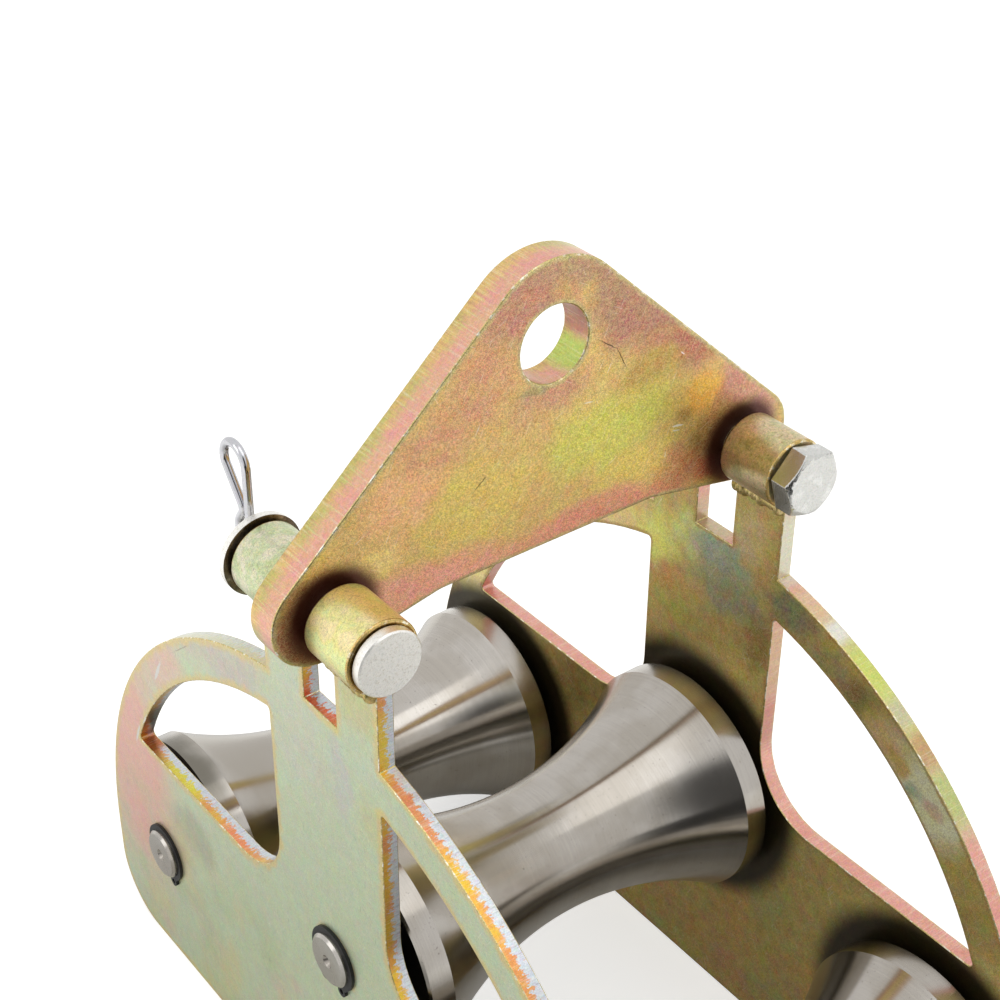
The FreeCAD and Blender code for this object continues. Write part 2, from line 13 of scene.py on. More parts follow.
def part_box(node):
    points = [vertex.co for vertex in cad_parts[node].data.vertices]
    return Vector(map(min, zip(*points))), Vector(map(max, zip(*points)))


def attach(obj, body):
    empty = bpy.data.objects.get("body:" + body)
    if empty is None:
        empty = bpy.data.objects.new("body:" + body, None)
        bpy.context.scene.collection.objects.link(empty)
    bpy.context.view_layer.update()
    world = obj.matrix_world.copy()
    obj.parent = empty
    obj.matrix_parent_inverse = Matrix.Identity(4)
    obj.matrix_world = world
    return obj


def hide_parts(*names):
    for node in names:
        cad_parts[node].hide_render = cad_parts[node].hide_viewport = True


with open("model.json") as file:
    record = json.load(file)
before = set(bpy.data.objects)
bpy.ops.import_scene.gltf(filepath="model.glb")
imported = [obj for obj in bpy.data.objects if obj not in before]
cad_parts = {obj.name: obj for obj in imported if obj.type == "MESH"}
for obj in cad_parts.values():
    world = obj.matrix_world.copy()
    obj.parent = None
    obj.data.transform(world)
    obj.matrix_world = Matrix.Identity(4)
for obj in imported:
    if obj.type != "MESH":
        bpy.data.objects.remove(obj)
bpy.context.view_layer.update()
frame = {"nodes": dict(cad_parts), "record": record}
scene = bpy.context.scene
MM = 0.001

# View
# The camera stands where the photograph's did: in front, to the left and above, looking down on the
# eye. The place, the two angles and the lens were fitted to the edges of the plates, tubes and yoke.
CAMERA_PLACE = Vector((-314.8, -388.4, 573.2)) * MM
CAMERA_YAW = math.radians(37.59)
CAMERA_PITCH = math.radians(32.88)
CAMERA_ROLL = math.radians(0.34)
CAMERA_LENS = 67.6
CAMERA_FILM = 36.0

ahead = Vector((
    math.sin(CAMERA_YAW) * math.cos(CAMERA_PITCH),
    math.cos(CAMERA_YAW) * math.cos(CAMERA_PITCH),
    -math.sin(CAMERA_PITCH),
))
level = Vector((math.cos(CAMERA_YAW), -math.sin(CAMERA_YAW), 0.0))
raised = level.cross(ahead)
camera_right = math.cos(CAMERA_ROLL) * level + math.sin(CAMERA_ROLL) * raised
camera_up = -math.sin(CAMERA_ROLL) * level + math.cos(CAMERA_ROLL) * raised
camera = bpy.data.objects.new("camera", bpy.data.cameras.new("camera"))
camera.data.sensor_width = CAMERA_FILM
camera.data.lens = CAMERA_LENS
turn = Matrix((camera_right, camera_up, -ahead)).transposed()
camera.matrix_world = Matrix.Translation(CAMERA_PLACE) @ turn.to_4x4()
scene.collection.objects.link(camera)
scene.camera = camera
scene.view_settings.view_transform = "Standard"

# Floor and light
# A white table in a white room, as for a catalogue picture. Bare metal shows mostly what it reflects, so
# the white also reaches the reflections. The rollers mirror a wide softbox in front and, below it, the
# dark side of the room where the photographer stands.
FLOOR_HALF = 6.0
FLOOR_COLOUR = "E4E4E2"
FLOOR_LIFT = 0.55            # glow that makes the table white to the camera and in the reflections
FLOOR_UNLIT = "3A3A3A"       # the end of the table below the photographer, as the rollers mirror it
SHADE_REACH = (0.16, 0.5)    # the block's own shade on the table, from its middle outwards, in metres
ROOM_COLOUR = "FFFFFF"
ROOM_STRENGTH = 0.76
MIRRORED_STRENGTH = 1.02
DARK_STRENGTH = 0.08
DARK_TOWARD = (-0.407, -0.914, 0.0)       # where the dark side lies, and the level direction across it
DARK_ACROSS = (0.914, -0.407, 0.0)
DARK_HALF_WIDTH = 0.34
DARK_MIDDLE = 0.2
DARK_HALF_HEIGHT = 0.5
DARK_FADE = (1.25, 0.7)      # its soft outline, from nothing to full, in shares of those half sizes
TABLE_FADE = (0.74, 0.88)    # how squarely toward the dark side the table lies where it goes unlit
LAMP_AIM = Vector((0, 0, 0.2))
LAMPS = (                    # name, place, width and height in metres, and watts
    ("front_softbox", (0.1, -0.5, 1.55), 1.1, 1.15, 3.4),
    ("left_softbox", (-1.5, 0.5, 1.1), 0.9, 1.1, 4.0),
)


def linear(colour):
    """Linear RGBA of an sRGB hex colour."""
    shares = [int(colour[index:index + 2], 16) / 255 for index in (0, 2, 4)]
    return [c / 12.92 if c <= 0.04045 else ((c + 0.055) / 1.055) ** 2.4 for c in shares] + [1.0]


def add(tree, kind, inputs=(), **settings):
    """Adds a node with its settings. Each input gets a value or a link: from a socket, or a node's first."""
    prefixes = ("ShaderNode", "GeometryNode", "FunctionNode", "")
    node = tree.nodes.new(next(prefix + kind for prefix in prefixes if hasattr(bpy.types, prefix + kind)))
    for key, value in settings.items():
        setattr(node, key, value)
    for key, value in dict(inputs).items():
        value = value.outputs[0] if isinstance(value, bpy.types.Node) else value
        if isinstance(value, bpy.types.NodeSocket):
            tree.links.new(value, node.inputs[key])
        else:
            node.inputs[key].default_value = value
    return node


def band(tree, value, low, high, most=1.0):
    """0 below low and most above high, smooth between. The other way round where low is above high."""
    fade = {"Value": value, "From Min": low, "From Max": high, "To Max": most}
    return add(tree, "MapRange", fade, interpolation_type="SMOOTHSTEP")


world = bpy.data.worlds.new("studio")
world.use_nodes = True
world.node_tree.nodes.clear()
scene.world = world
sky = world.node_tree
ray = add(sky, "LightPath").outputs
ambient = add(sky, "Background", {"Color": linear(ROOM_COLOUR), "Strength": ROOM_STRENGTH})
heading = add(sky, "TexCoord").outputs["Generated"]
sideways = add(sky, "VectorMath", {0: heading, 1: DARK_ACROSS}, operation="DOT_PRODUCT").outputs["Value"]
sideways = add(sky, "Math", {0: sideways, 1: DARK_HALF_WIDTH}, operation="DIVIDE")
upward = add(sky, "SeparateXYZ", {0: heading}).outputs["Z"]
upward = add(sky, "Math", {0: upward, 1: DARK_MIDDLE}, operation="SUBTRACT")
upward = add(sky, "Math", {0: upward, 1: DARK_HALF_HEIGHT}, operation="DIVIDE")
offset = add(sky, "CombineXYZ", {0: sideways, 1: upward})
offset = add(sky, "VectorMath", {0: offset}, operation="LENGTH").outputs["Value"]
toward = add(sky, "VectorMath", {0: heading, 1: DARK_TOWARD}, operation="DOT_PRODUCT").outputs["Value"]
toward = add(sky, "Math", {0: toward, 1: 0.0}, operation="GREATER_THAN")
blot = add(sky, "Math", {0: band(sky, offset, *DARK_FADE), 1: toward}, operation="MULTIPLY")
level_seen = add(sky, "MapRange", {"Value": blot, "To Min": MIRRORED_STRENGTH, "To Max": DARK_STRENGTH})
mirrored = add(sky, "Background", {"Color": linear(ROOM_COLOUR), "Strength": level_seen})
backdrop = add(sky, "Background", {"Color": linear(ROOM_COLOUR), "Strength": 1.0})
room = add(sky, "MixShader", {0: ray["Is Glossy Ray"], 1: ambient, 2: mirrored})
room = add(sky, "MixShader", {0: ray["Is Camera Ray"], 1: room, 2: backdrop})
add(sky, "OutputWorld", {"Surface": room})

table_mesh = bpy.data.meshes.new("table")
table_corners = [(x * FLOOR_HALF, y * FLOOR_HALF, 0) for x, y in ((-1, -1), (1, -1), (1, 1), (-1, 1))]
table_mesh.from_pydata(table_corners, [], [(0, 1, 2, 3)])
table = bpy.data.objects.new("table", table_mesh)
scene.collection.objects.link(table)
table_paint = bpy.data.materials.new("white_table")
table_paint.use_nodes = True
table_paint.node_tree.nodes.clear()
paint = table_paint.node_tree
ray = add(paint, "LightPath").outputs
spot = add(paint, "NewGeometry").outputs["Position"]
distance = add(paint, "VectorMath", {0: spot}, operation="LENGTH").outputs["Value"]
open_table = band(paint, distance, *SHADE_REACH)
gloss = add(paint, "Math", {0: ray["Is Glossy Ray"], 1: open_table}, operation="MULTIPLY")
shown = add(paint, "Math", {0: ray["Is Camera Ray"], 1: gloss}, operation="ADD", use_clamp=True)
lift = add(paint, "Math", {0: shown, 1: FLOOR_LIFT}, operation="MULTIPLY")
glow = add(paint, "Emission", {"Color": linear("FFFFFF"), "Strength": lift})
matt = add(paint, "BsdfDiffuse", {"Color": linear(FLOOR_COLOUR)})
both = add(paint, "AddShader", {0: glow, 1: matt})
heading = add(paint, "VectorMath", {0: spot}, operation="NORMALIZE")
toward = add(paint, "VectorMath", {0: heading, 1: DARK_TOWARD}, operation="DOT_PRODUCT").outputs["Value"]
in_dark = add(paint, "Math", {0: band(paint, toward, *TABLE_FADE), 1: gloss}, operation="MULTIPLY")
unlit = add(paint, "BsdfDiffuse", {"Color": linear(FLOOR_UNLIT)})
both = add(paint, "MixShader", {0: in_dark, 1: both, 2: unlit})
add(paint, "OutputMaterial", {"Surface": both})
table_mesh.materials.append(table_paint)

for name, place, width, height, power in LAMPS:
    light = bpy.data.lights.new(name, "AREA")
    light.shape = "RECTANGLE"
    light.size = width
    light.size_y = height
    light.energy = power
    lamp = bpy.data.objects.new(name, light)
    lamp.location = place
    lamp.rotation_euler = (LAMP_AIM - Vector(place)).to_track_quat("-Z", "Y").to_euler()
    scene.collection.objects.link(lamp)

# Side plates
# Laser-cut from 6 mm steel sheet, then zinc plated and yellow passivated. The passivation is a thin film,
# thicker along the edges, so its colour drifts from grey-green through straw to rose and lilac.
PLATE_EDGE = 0.35 * MM       # broken edge
PLATE_CELL = 2.5 * MM        # grid that carries the distance from the cut edge
RIM_REACH = 12 * MM          # farthest distance from the cut edge that matters to the film
GRAIN = 0.32 * MM            # crystals of the zinc, drawn coarser than they are so that they show
FILM_METAL = 0.65            # the passivation film scatters part of the light like a matt coat
EDGE_WOBBLE = 3.0            # how far in mm the tints on a cut edge stray, less than those on the faces
THIN_SIDE = 8                # cells below which a direction of a piece is left uncut
SCRATCHES = (                # colour, length and width in mm, angles, share of the face, strength if fixed
    ("FBE7A4", 1.8, 0.2, (0, 37, 71, 108, 149), 0.42, None),
    ("6E4426", 1.5, 0.22, (19, 56, 93, 131), 0.42, None),
    ("F4F0E4", 9.0, 0.2, (25, 62, 118, 155), 0.27, 0.6),
    ("3E3A2C", 7.0, 0.2, (8, 84, 137), 0.26, 0.55),
)


def new_material(name):
    material = bpy.data.materials.new(name)
    material.use_nodes = True
    material.node_tree.nodes.clear()
    return material


def object_place(tree, scale=1.0):
    """Object coordinates in millimetres, scaled for a pattern, alike or by axis."""
    place = add(tree, "TexCoord").outputs["Object"]
    scale = [scale] * 3 if isinstance(scale, float) else scale
    return add(tree, "Mapping", {"Vector": place, "Scale": [part / MM for part in scale]})


def noise(tree, scale, detail=3.0):
    """Cloudy noise in the object's own coordinates, its scale per millimetre."""
    return add(tree, "TexNoise", {"Vector": object_place(tree, scale), "Scale": 1.0, "Detail": detail})


def blend(tree, colour, other, kind, share=1.0):
    """Lays one colour over another with a blend mode."""
    mixed = {"Factor": share, "A": colour, "B": other}
    return add(tree, "Mix", mixed, data_type="RGBA", blend_type=kind).outputs["Result"]


def tint(tree, colour, shade, mask):
    """Lays a hex colour over another one where the mask is."""
    return blend(tree, colour, linear(shade) if isinstance(shade, str) else shade, "MIX", mask)


def pools(tree, colour, axis, level, spots, wobble=9.0, depth=30):
    """Soft-edged tints on a face across an axis: (place and reach in mm in its plane, colour, strength)."""
    drift = noise(tree, 0.045)
    drift = add(tree, "VectorMath", {0: drift.outputs["Color"], 1: (0.5, 0.5, 0.5)}, operation="SUBTRACT")
    here = {0: drift, 1: [2 * wobble] * 3, 2: object_place(tree)}
    here = add(tree, "VectorMath", here, operation="MULTIPLY_ADD")
    for *plane, shade, strength in spots:
        place, reach = plane[:2], plane[2:]
        place.insert(axis, level)
        reach.insert(axis, depth)
        inverse = [1 / part for part in reach]
        back = [-part / span for part, span in zip(place, reach)]
        local = add(tree, "Mapping", {"Vector": here, "Location": back, "Scale": inverse})
        away = add(tree, "VectorMath", {0: local}, operation="LENGTH").outputs["Value"]
        colour = tint(tree, colour, shade, band(tree, away, 1.0, 0.35, strength))
    return colour


def mottled(tree, colour, size, amount):
    """Drifts a colour in hue and in value by cloudy noise of one size in mm."""
    cloud = {"Vector": object_place(tree, 1 / size), "Scale": 1.0, "Detail": 3.0, "Roughness": 0.62}
    cloud = add(tree, "TexNoise", cloud).outputs["Color"]
    gain = {0: cloud, 1: (2.6, 2.6, 2.6), 2: (-0.8, -0.8, -0.8)}
    spread = add(tree, "VectorMath", gain, operation="MULTIPLY_ADD")
    return blend(tree, colour, spread, "SOFT_LIGHT", amount)


def grained(tree, colour, amount=0.3, size=GRAIN, hue=0.16):
    """Crystals of the zinc, each a little lighter or darker and of its own hue. Gives colour and height."""
    crystal = {"Vector": object_place(tree, MM / size), "Scale": 1.0}
    crystal = add(tree, "TexVoronoi", crystal).outputs["Color"]
    speck = add(tree, "SeparateXYZ", {0: crystal})
    shade = add(tree, "MapRange", {"Value": speck, "To Min": 1 - amount, "To Max": 1 + amount})
    toned = blend(tree, colour, shade, "MULTIPLY")
    return blend(tree, toned, crystal, "SOFT_LIGHT", hue), speck


def painted_shade_rings(tree, colour, axis, rings):
    """Painted shade in dark rings on a face across an axis: (centre in mm, full dark radius, end radius,
    colour).
    """
    here = object_place(tree)
    weights = [1 + 9 * (axis == part) for part in range(3)]
    for centre, near, far, shade in rings:
        back = [-part * weight for part, weight in zip(centre, weights)]
        offset = add(tree, "VectorMath", {0: here, 1: weights, 2: back}, operation="MULTIPLY_ADD")
        away = add(tree, "VectorMath", {0: offset}, operation="LENGTH").outputs["Value"]
        colour = tint(tree, colour, shade, band(tree, away, far, near, 0.95))
    return colour


def hairlines(tree, along, across, angles, axis, share, strength):
    """Mask of fine straight scratches: stretched noise at a few angles in the plane across an axis."""
    lines = 0.0
    place = add(tree, "TexCoord").outputs["Object"]
    stretched = [1 / across / MM] * 3
    stretched[(axis + 1) % 3] = 1 / along / MM
    for index, angle in enumerate(angles):
        turned = [math.radians(angle) * (axis == part) for part in range(3)]
        shift = (7.3 * index, 3.1 * index, 5.7 * index)
        spun = add(tree, "Mapping", {"Vector": place, "Rotation": turned})
        local = add(tree, "Mapping", {"Vector": spun, "Location": shift, "Scale": stretched})
        streak = add(tree, "TexNoise", {"Vector": local, "Scale": 1.0, "Detail": 1.0})
        streak = band(tree, streak, 1 - share, 1 - share + 0.05, strength)
        lines = add(tree, "Math", {0: streak, 1: lines}, operation="MAXIMUM")
    return lines


def marks(tree, colour, axis, level, nicks):
    """Single scratches on a face across an axis: (place in its plane, length, width, degrees, colour)."""
    shake = noise(tree, 0.7, 2.0)
    shake = add(tree, "VectorMath", {0: shake.outputs["Color"], 1: (0.5, 0.5, 0.5)}, operation="SUBTRACT")
    here = {0: shake, 1: (0.9, 0.9, 0.9), 2: object_place(tree)}
    here = add(tree, "VectorMath", here, operation="MULTIPLY_ADD")
    pole = [float(axis == part) for part in range(3)]
    for *place, length, width, degrees, shade in nicks:
        place.insert(axis, level)
        moved = add(tree, "VectorMath", {0: here, 1: place}, operation="SUBTRACT")
        spun = {"Vector": moved, "Center": (0, 0, 0), "Axis": pole, "Angle": math.radians(degrees)}
        spun = add(tree, "VectorRotate", spun)
        scaled = [2 / width] * 3
        scaled[0 if axis else 1] = 2 / length
        scaled[axis] = 0.0
        scaled = add(tree, "VectorMath", {0: spun, 1: scaled}, operation="MULTIPLY")
        away = add(tree, "VectorMath", {0: scaled}, operation="LENGTH").outputs["Value"]
        colour = tint(tree, colour, shade, band(tree, away, 1.0, 0.6, 0.85))
    return colour


def finish(tree, colour, height, roughness, metallic=1.0, relief=0.03, strength=0.3, **sockets):
    """Principled metal with a bumpy skin."""
    bump = add(tree, "Bump", {"Height": height, "Strength": strength, "Distance": relief * MM})
    inputs = {"Base Color": colour, "Metallic": metallic, "Roughness": roughness, "Normal": bump}
    skin = add(tree, "BsdfPrincipled", {**inputs, **sockets})
    add(tree, "OutputMaterial", {"Surface": skin})


def drifting_film(tree, colour, shades, far_from, far_to):
    """Wide clouds of three shades on what the photograph doesn't show: a plate's foot and its far face."""
    place = add(tree, "SeparateXYZ", {0: object_place(tree)}).outputs
    unseen = {0: band(tree, place["Z"], 95, 55), 1: band(tree, place["X"], far_from, far_to)}
    unseen = add(tree, "Math", unseen, operation="MAXIMUM")
    cloud = noise(tree, 0.03)
    cloud = add(tree, "SeparateColor", {0: cloud.outputs["Color"]}).outputs
    for channel, shade in zip(cloud, shades):
        share = {0: band(tree, channel, 0.46, 0.7, 0.75), 1: unseen}
        colour = tint(tree, colour, shade, add(tree, "Math", share, operation="MULTIPLY"))
    return colour


def sheet_face(name, axis, level, base, spots, rim_tint, rim_reach, grain, fibres, cloudy, nicks, rings,
               drift=None):
    """Face of a passivated sheet, with its tints, its border along the cut edges, grain, scratches and
    painted shade rings.
    """
    material = new_material(name)
    tree = material.node_tree
    rim = add(tree, "Attribute", attribute_name="rim_mm").outputs["Fac"]
    wander = noise(tree, 0.2, 4.0)
    rim = add(tree, "Math", {0: wander, 1: -2.6 * rim_reach, 2: rim}, operation="MULTIPLY_ADD")
    colour = pools(tree, linear(base), axis, level, spots)
    if drift:
        colour = drifting_film(tree, colour, *drift)
    colour = tint(tree, colour, rim_tint, band(tree, rim, rim_reach * 0.4, -rim_reach, 0.85))
    colour = mottled(tree, colour, 5.0, cloudy)
    colour = mottled(tree, colour, 1.2, cloudy * 0.5)
    colour, height = grained(tree, colour, grain)
    for shade, along, across, angles, share, strength in SCRATCHES:
        lines = hairlines(tree, along, across, angles, axis, share, strength or fibres)
        colour = tint(tree, colour, shade, lines)
    colour = painted_shade_rings(tree, colour, axis, rings)
    colour = marks(tree, colour, axis, level, nicks)
    finish(tree, colour, height, 0.36, FILM_METAL)
    return material


def cut_edge(name, axis, near, far, split, inner, outer, spots, flake=None, over=(), stripe=0.5):
    """Laser-cut edge: smooth by the near face, finely grooved behind, with torn pale film."""
    material = new_material(name)
    tree = material.node_tree
    place = add(tree, "SeparateXYZ", {0: object_place(tree)}).outputs[axis]
    depth = add(tree, "MapRange", {"Value": place, "From Min": near, "From Max": far})
    across = [1 / stripe] * 3
    across[axis] = 0.08
    grooves = noise(tree, across, 2.0)
    slow = noise(tree, 0.06, 2.0)
    shifted = add(tree, "Math", {0: depth, 1: grooves}, operation="ADD")
    rough_side = band(tree, shifted, split + 0.25, split + 0.75)
    colour = tint(tree, linear(inner[0]), inner[1], band(tree, slow, 0.4, 0.6))
    outer_colour = tint(tree, linear(outer[0]), outer[1], band(tree, slow, 0.42, 0.58))
    colour = tint(tree, colour, outer_colour, rough_side)
    colour = pools(tree, colour, axis, (near + far) / 2, spots, EDGE_WOBBLE)
    if flake:
        ragged = [0.8] * 3
        ragged[axis] = 0.45
        torn = {"Vector": object_place(tree, ragged), "Scale": 1.0, "Detail": 4.0, "Roughness": 0.7}
        torn = {0: depth, 1: 0.55, 2: add(tree, "TexNoise", torn)}
        torn = add(tree, "Math", torn, operation="MULTIPLY_ADD")
        colour = tint(tree, colour, flake, band(tree, torn, 0.77, 0.79))
        colour = pools(tree, colour, axis, (near + far) / 2, over, EDGE_WOBBLE)
    dark = {0: band(tree, grooves, 0.5, 0.25, 0.4), 1: rough_side}
    colour = tint(tree, colour, "7A6234", add(tree, "Math", dark, operation="MULTIPLY"))
    colour = tint(tree, colour, "F6F0D8", band(tree, grooves, 0.52, 0.7, 0.22))
    colour = mottled(tree, colour, 1.6, 0.2)
    colour = grained(tree, colour, 0.1, GRAIN, 0.1)[0]
    finish(tree, colour, grooves, 0.3, FILM_METAL, 0.1)
    return material


def worn_edge(name, bare, film):
    """Broken edge where handling has rubbed the film down to bright zinc, in nicks and runs."""
    material = new_material(name)
    tree = material.node_tree
    runs = noise(tree, 0.4, 4.0)
    colour = tint(tree, linear(film), bare, band(tree, runs, 0.5, 0.68))
    colour, height = grained(tree, colour, 0.25)
    finish(tree, colour, height, 0.34)
    return material


def merged_copy(node, name, whole_faces=True):
    """A copy of a CAD piece, welded from loose triangles, with its flat faces whole if wished."""
    shape = bmesh.new()
    shape.from_mesh(frame["nodes"][node].data)
    bmesh.ops.remove_doubles(shape, verts=shape.verts, dist=1e-6)
    if whole_faces:
        bmesh.ops.dissolve_limit(shape, angle_limit=math.radians(0.5), verts=shape.verts, edges=shape.edges)
    mesh = bpy.data.meshes.new(name)
    shape.to_mesh(mesh)
    shape.free()
    stored_normals = mesh.attributes.get("custom_normal")
    if stored_normals:
        mesh.attributes.remove(stored_normals)
    piece = bpy.data.objects.new(name, mesh)
    scene.collection.objects.link(piece)
    return piece


def apply_modifiers(piece):
    bpy.context.view_layer.update()
    whole = piece.evaluated_get(bpy.context.evaluated_depsgraph_get())
    mesh = bpy.data.meshes.new_from_object(whole)
    piece.modifiers.clear()
    piece.data = mesh


def break_edges(piece, width, worn_slot, segments=2):
    """Bevels the sharp edges and gives the bevels the material of worn edges."""
    piece.data.polygons.foreach_set("use_smooth", [True] * len(piece.data.polygons))
    bevel = piece.modifiers.new("broken_edges", "BEVEL")
    bevel.width = width
    bevel.segments = segments
    bevel.limit_method = "ANGLE"
    bevel.angle_limit = math.radians(35)
    bevel.use_clamp_overlap = False
    bevel.material = worn_slot
    weighted = piece.modifiers.new("flat_faces", "WEIGHTED_NORMAL")
    weighted.keep_sharp = False
    apply_modifiers(piece)


def measure_rim(piece, cell, worn_slot):
    """Cuts the piece into a grid and stores each point's distance in mm from the nearest worn edge."""
    shape = bmesh.new()
    shape.from_mesh(piece.data)
    low = Vector([min(vert.co[axis] for vert in shape.verts) for axis in range(3)])
    high = Vector([max(vert.co[axis] for vert in shape.verts) for axis in range(3)])
    for axis in range(3):
        steps = int((high[axis] - low[axis]) / cell)
        if steps < THIN_SIDE:
            continue
        normal = Vector([float(axis == other) for other in range(3)])
        for step in range(1, steps):
            cut = low + normal * (high[axis] - low[axis]) * step / steps
            everything = shape.verts[:] + shape.edges[:] + shape.faces[:]
            bmesh.ops.bisect_plane(shape, geom=everything, plane_co=cut, plane_no=normal)
    rim = [edge for face in shape.faces if face.material_index == worn_slot for edge in face.edges]
    points = [edge.verts[0].co.lerp(edge.verts[1].co, share / 2) for edge in rim for share in range(3)]
    near = kdtree.KDTree(len(points))
    for index, point in enumerate(points):
        near.insert(point, index)
    near.balance()
    layer = shape.verts.layers.float.new("rim_mm")
    for vert in shape.verts:
        vert[layer] = min(near.find(vert.co)[2], RIM_REACH) / MM
    shape.to_mesh(piece.data)
    shape.free()
    weighted = piece.modifiers.new("flat_faces", "WEIGHTED_NORMAL")
    weighted.keep_sharp = False
    apply_modifiers(piece)


ROLLER_RIM_SHADE = (47, 58, "140C05")  # painted shade and reflection round a roller's rim on the plates: radii in mm and colour
AXLES = ((-123.5, 54.5), (0, 99.5), (123.5, 54.5))
ROLLER_SHADE_RINGS = {side: [((x, *axle), *ROLLER_RIM_SHADE) for axle in AXLES] for side, x in (("left", -79), ("right", 79))}
LEFT_FACE_SPOTS = (
    (144, 92, 44, 88, "E8B2A6", 0.95),        # pink lobe of the rear arm
    (112, 160, 30, 26, "E2BCAE", 0.85),       # and where it turns to the grey
    (66, 193, 46, 20, "C8C2B8", 0.95),        # grey top of the rear arm
    (86, 183, 16, 13, "CCC2B4", 0.8),
    (98, 82, 22, 16, "A4A890", 0.6),          # shaded foot of the rear window
    (14, 184, 20, 30, "CACEBC", 0.8),         # greyer middle of the post
    (-8, 186, 8, 24, "C6BECA", 0.5),          # lilac streak on the post
    (-22, 224, 16, 14, "CAC890", 0.8),        # yellow-green tine
    (-30, 180, 16, 16, "CACE9C", 0.7),
    (-110, 120, 50, 50, "D8C4B4", 0.7),
)
LEFT_NICKS = (
    (113, 151, 16.0, 2.0, 62, "D9DAD6"),      # pale streaks on the pink lobe
    (129, 118, 12.0, 1.4, 58, "DCDCD8"),
    (137, 106, 14.0, 1.6, 66, "D9DAD6"),
    (92, 174, 18.0, 0.5, 40, "A89C86"),
)
RIGHT_FACE_SPOTS = (
    (54, 186, 30, 24, "F4D890", 0.95),        # gold beside the rear window
    (29, 189, 16, 18, "EEF07C", 0.97),        # green upper post
    (12, 199, 14, 14, "D4DC86", 0.9),
    (-6, 198, 22, 15, "94A894", 0.95),        # blue-grey middle of the post
    (-18, 214, 12, 16, "D6BC8A", 0.8),        # straw tine
    (-8, 184, 26, 14, "96987C", 0.9),
    (22, 176, 14, 12, "CC9450", 0.8),         # orange patch under the green
    (16, 164, 16, 10, "B4B050", 0.8),
    (5, 177, 8, 8, "C8AA60", 0.7),
    (-26, 172, 12, 16, "8E7438", 0.9),
    (-40, 194, 18, 14, "7E8064", 0.95),       # dark root of the front arm
    (-60, 182, 16, 14, "A09468", 0.8),
    (-75, 177, 10, 11, "7A7040", 0.85),
    (-104, 159, 30, 28, "FFFFDA", 0.97),      # pale low arm
    (-87, 167, 12, 12, "F4CE92", 0.8),
    (-91, 166, 6, 7, "DCB450", 0.7),          # with ochre, blue-grey and rose clouds
    (-99, 158, 7, 6, "A8BCB4", 0.7),
    (-108, 156, 6, 5, "E0B49C", 0.6),
    (138, 104, 24, 20, "FFEC9E", 0.95),       # pale top of the rear arm's foot
    (80, 96, 34, 30, "9A7C34", 0.8),          # brown under the rear window
)
LEFT_EDGE_SPOTS = (
    (96, 200, 96, 46, "C8C8A8", 0.97),        # pale green rim of the rear arm
    (2, 206, 14, 12, "DC6E48", 0.9),          # orange-red walls of the slot
    (-50, 196, 20, 12, "D88868", 0.7),
    (-31, 212, 6, 18, "DEC04A", 0.85),        # yellow front edge of the post
    (105, 105, 20, 7, "DCD648", 0.85),        # yellow sill of the rear window
    (68, 105, 14, 7, "EA8E66", 0.85),         # and its salmon end
)
LEFT_EDGE_SHADES = (
    (96, 200, 96, 46, "C8C8A8", 0.6),
    (134, 124, 16, 18, "5E5A46", 0.9),        # painted shade: dark inner wall of the rear arm, which faces down
    (131, 105, 8, 5, "B4642C", 0.95),         # brown corner of the window
)
RIGHT_EDGE_SPOTS = (
    (-32, 216, 8, 24, "DAD8C0", 0.95),        # cream front edge of the post
    (-52, 204, 16, 12, "D8C8B0", 0.9),
    (-92, 188, 60, 34, "CCD08C", 0.9),        # cream and lime rim of the front arm
    (-114, 162, 18, 18, "D0C498", 0.9),
    (-46, 202, 12, 9, "E0BC98", 0.85),        # patches down that rim: peach, silver, lime,
    (-59, 197, 6, 7, "E8E8E0", 0.8),          # grey, brown and green
    (-74, 189, 15, 14, "CCD66C", 0.85),
    (-89, 181, 6, 8, "C6C0A4", 0.6),
    (-100, 174, 9, 9, "C4946A", 0.75),
    (-114, 164, 13, 13, "BCC47C", 0.85),
    (2, 208, 14, 16, "CDBE9C", 0.9),          # olive walls of the slot
    (-32, 168, 7, 24, "E0BE98", 0.8),
)
LEFT_DRIFT = (("D8BEB2", "B4CCA0", "D6CC9A"), -83, -80)  # shades, and where the far face begins and ends
RIGHT_DRIFT = (("C08C74", "A2B06A", "D6A85A"), 81, 84)
plate_materials = {
    "left": (
        sheet_face("passivated_sheet_left", 0, -85, "C6D4B6", LEFT_FACE_SPOTS, "DCC88A", 1.9,
                   grain=0.06, fibres=0.1, cloudy=0.16, nicks=LEFT_NICKS, rings=ROLLER_SHADE_RINGS["left"],
                   drift=LEFT_DRIFT),
        cut_edge("laser_cut_edge_left", 0, -85, -79, 0.5, ("DEB43C", "DC9858"), ("DCB48C", "D89A80"),
                 LEFT_EDGE_SPOTS, "CCD2D8", LEFT_EDGE_SHADES),
    ),
    "right": (
        sheet_face("passivated_sheet_right", 0, 79, "C4AC60", RIGHT_FACE_SPOTS, "B09250", 1.0,
                   grain=0.16, fibres=0.24, cloudy=0.4, nicks=(), rings=ROLLER_SHADE_RINGS["right"],
                   drift=RIGHT_DRIFT),
        cut_edge("laser_cut_edge_right", 0, 79, 85, 0.9, ("E4A898", "E0A090"), ("E2BCA8", "D8B890"),
                 RIGHT_EDGE_SPOTS),
    ),
}
worn_zinc = worn_edge("worn_edge", "EEEADA", "C8B67C")

for side in ("left", "right"):
    plate = merged_copy("side_plate_" + side, "plate_" + side)
    for material in (*plate_materials[side], worn_zinc):
        plate.data.materials.append(material)
    for face in plate.data.polygons:
        face.material_index = 0 if abs(face.normal.x) > 0.9 else 1
    break_edges(plate, PLATE_EDGE, 2)
    measure_rim(plate, PLATE_CELL, 2)
    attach(plate, "frame")
    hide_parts("side_plate_" + side)

